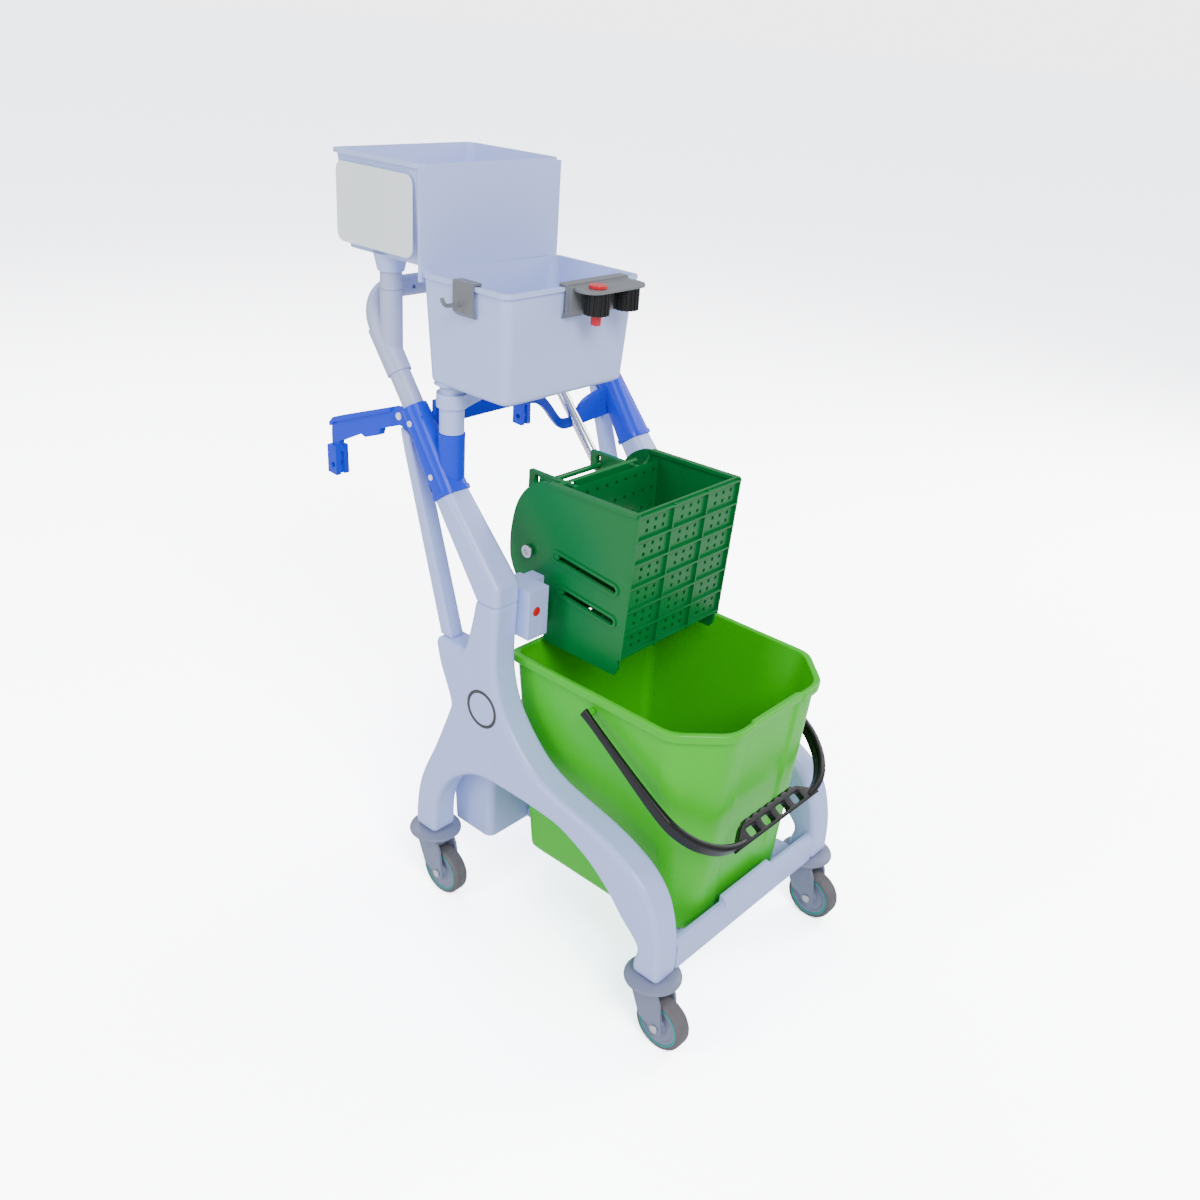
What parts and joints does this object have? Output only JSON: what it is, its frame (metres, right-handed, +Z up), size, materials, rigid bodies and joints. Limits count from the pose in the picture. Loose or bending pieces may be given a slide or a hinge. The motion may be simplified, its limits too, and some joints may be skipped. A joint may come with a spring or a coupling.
{
  "type": "housekeeping cart",
  "caption": "Mop trolley on swivel casters with arched side frames, lift-out bucket, lever press wringer, stepped two-box caddy, push handle and folding bag arms.",
  "frame": {"origin": "on the floor, under the middle of the overall box; the side frames' plane of symmetry is at x = +9 mm and the middle between the axles at y = -104 mm", "axes": "+Z up; +Y towards the push handle and bag arms at the rear, so the bucket's front faces -Y; +X towards the side without the caddy"},
  "size_m": [0.4625, 0.7116, 1.05],
  "materials": {
    "frame": "fine satin moulded grain",
    "handle": "satin",
    "blue": "satin gloss",
    "pins": "gloss",
    "caster": "satin",
    "hub": "satin",
    "tyre": "matt",
    "axle": "bright",
    "bucket": "satin gloss",
    "black": "satin",
    "wringer": "satin",
    "metal": "polished",
    "red": "gloss",
    "tray": "fine satin moulded grain",
    "panel": "milky satin",
    "clip": "satin",
    "roller": "ribbed, matt"
  },
  "bodies": {
    "frame": {"frame_left": "frame", "frame_right": "frame", "neck_left": "frame", "neck_right": "frame", "front_bar": "frame", "rear_box": "frame", "base_rails": "frame", "connector_left": "blue", "connector_right": "blue", "cross_brace": "blue", "tubes": "handle", "joint_left": "handle", "joint_right": "handle", "push_handle": "handle", "front_post": "frame", "rear_post": "handle", "strut_left": "frame", "strut_right": "frame", "latch_pins": "pins", "carrier_left": "frame", "carrier_right": "frame", "tray_bracket": "frame", "bumpers": "caster", "arm_pins": "pins"},
    "caster_fl": {"fork_fl": "caster", "axle_fl": "axle"},
    "wheel_fl": {"hub_fl": "hub", "tyre_fl": "tyre"},
    "caster_fr": {"fork_fr": "caster", "axle_fr": "axle"},
    "wheel_fr": {"hub_fr": "hub", "tyre_fr": "tyre"},
    "caster_rl": {"fork_rl": "caster", "axle_rl": "axle"},
    "wheel_rl": {"hub_rl": "hub", "tyre_rl": "tyre"},
    "caster_rr": {"fork_rr": "caster", "axle_rr": "axle"},
    "wheel_rr": {"hub_rr": "hub", "tyre_rr": "tyre"},
    "bucket": {"bucket": "bucket"},
    "bail": {"bail": "black"},
    "wringer": {"wringer_body": "wringer", "pivot_caps": "axle"},
    "lever": {"press_crank": "metal", "lever_tube": "metal", "lever_grip": "black"},
    "press": {"press_plate": "wringer"},
    "tray": {"tray": "tray", "tray_panel": "panel", "hook_clip": "clip", "clamp_base": "clip", "clamp_knob": "red"},
    "roller_a": {"roller_a": "roller"},
    "roller_b": {"roller_b": "roller"},
    "arm_left": {"arm_left": "blue"},
    "arm_right": {"arm_right": "blue"},
    "button_left": {"button_left": "red"},
    "button_right": {"button_right": "red"}
  },
  "joints": [
    {"name": "swivel_fl", "type": "hinge", "parent": "frame", "child": "caster_fl", "pos_m": [-0.174, -0.294, 0.097], "axis": [0, 0, 1], "continuous": true},
    {"name": "roll_fl", "type": "hinge", "parent": "caster_fl", "child": "wheel_fl", "pos_m": [-0.174, -0.318, 0.0375], "axis": [1, 0, 0], "continuous": true},
    {"name": "swivel_fr", "type": "hinge", "parent": "frame", "child": "caster_fr", "pos_m": [0.192, -0.294, 0.097], "axis": [0, 0, 1], "continuous": true},
    {"name": "roll_fr", "type": "hinge", "parent": "caster_fr", "child": "wheel_fr", "pos_m": [0.192, -0.318, 0.0375], "axis": [1, 0, 0], "continuous": true},
    {"name": "swivel_rl", "type": "hinge", "parent": "frame", "child": "caster_rl", "pos_m": [-0.174, 0.134, 0.097], "axis": [0, 0, 1], "continuous": true},
    {"name": "roll_rl", "type": "hinge", "parent": "caster_rl", "child": "wheel_rl", "pos_m": [-0.174, 0.11, 0.0375], "axis": [1, 0, 0], "continuous": true},
    {"name": "swivel_rr", "type": "hinge", "parent": "frame", "child": "caster_rr", "pos_m": [0.192, 0.134, 0.097], "axis": [0, 0, 1], "continuous": true},
    {"name": "roll_rr", "type": "hinge", "parent": "caster_rr", "child": "wheel_rr", "pos_m": [0.192, 0.11, 0.0375], "axis": [1, 0, 0], "continuous": true},
    {"name": "bucket_lift", "type": "slide", "parent": "frame", "child": "bucket", "axis": [0, 0, 1], "range_m": [0, 0.028]},
    {"name": "bail_swing", "type": "hinge", "parent": "bucket", "child": "bail", "pos_m": [0.009, -0.129, 0.4163], "axis": [1, 0, 0], "range_deg": [-105, 0]},
    {"name": "wringer_lift", "type": "slide", "parent": "frame", "child": "wringer", "axis": [0, 0, 1], "range_m": [0, 0.022]},
    {"name": "lever_pull", "type": "hinge", "parent": "wringer", "child": "lever", "pos_m": [0.009, 0.037, 0.573], "axis": [1, 0, 0], "range_deg": [0, 34]},
    {"name": "press_travel", "type": "slide", "parent": "wringer", "child": "press", "axis": [0, -0.9941, -0.1088], "range_m": [0, 0.0466]},
    {"name": "tray_lift", "type": "slide", "parent": "frame", "child": "tray", "axis": [0, 0, 1], "range_m": [0, 0.06]},
    {"name": "roller_a_spin", "type": "hinge", "parent": "tray", "child": "roller_a", "pos_m": [-0.075, -0.034, 0.912], "axis": [0, 0, 1], "continuous": true},
    {"name": "roller_b_spin", "type": "hinge", "parent": "tray", "child": "roller_b", "pos_m": [-0.021, -0.034, 0.912], "axis": [0, 0, 1], "continuous": true},
    {"name": "arm_left_fold", "type": "hinge", "parent": "frame", "child": "arm_left", "pos_m": [-0.174, 0.199, 0.733], "axis": [1, 0, 0], "range_deg": [0, 40]},
    {"name": "arm_right_fold", "type": "hinge", "parent": "frame", "child": "arm_right", "pos_m": [0.192, 0.199, 0.733], "axis": [1, 0, 0], "range_deg": [0, 40]},
    {"name": "button_left_press", "type": "slide", "parent": "frame", "child": "button_left", "axis": [0, 1, 0], "range_m": [0, 0.003], "stiffness_N_per_m": 500},
    {"name": "button_right_press", "type": "slide", "parent": "frame", "child": "button_right", "axis": [0, 1, 0], "range_m": [0, 0.003], "stiffness_N_per_m": 500}
  ],
  "couplings": [
    {"joint": "press_travel", "follows": "lever_pull", "m_per_rad": 0.078}
  ]
}
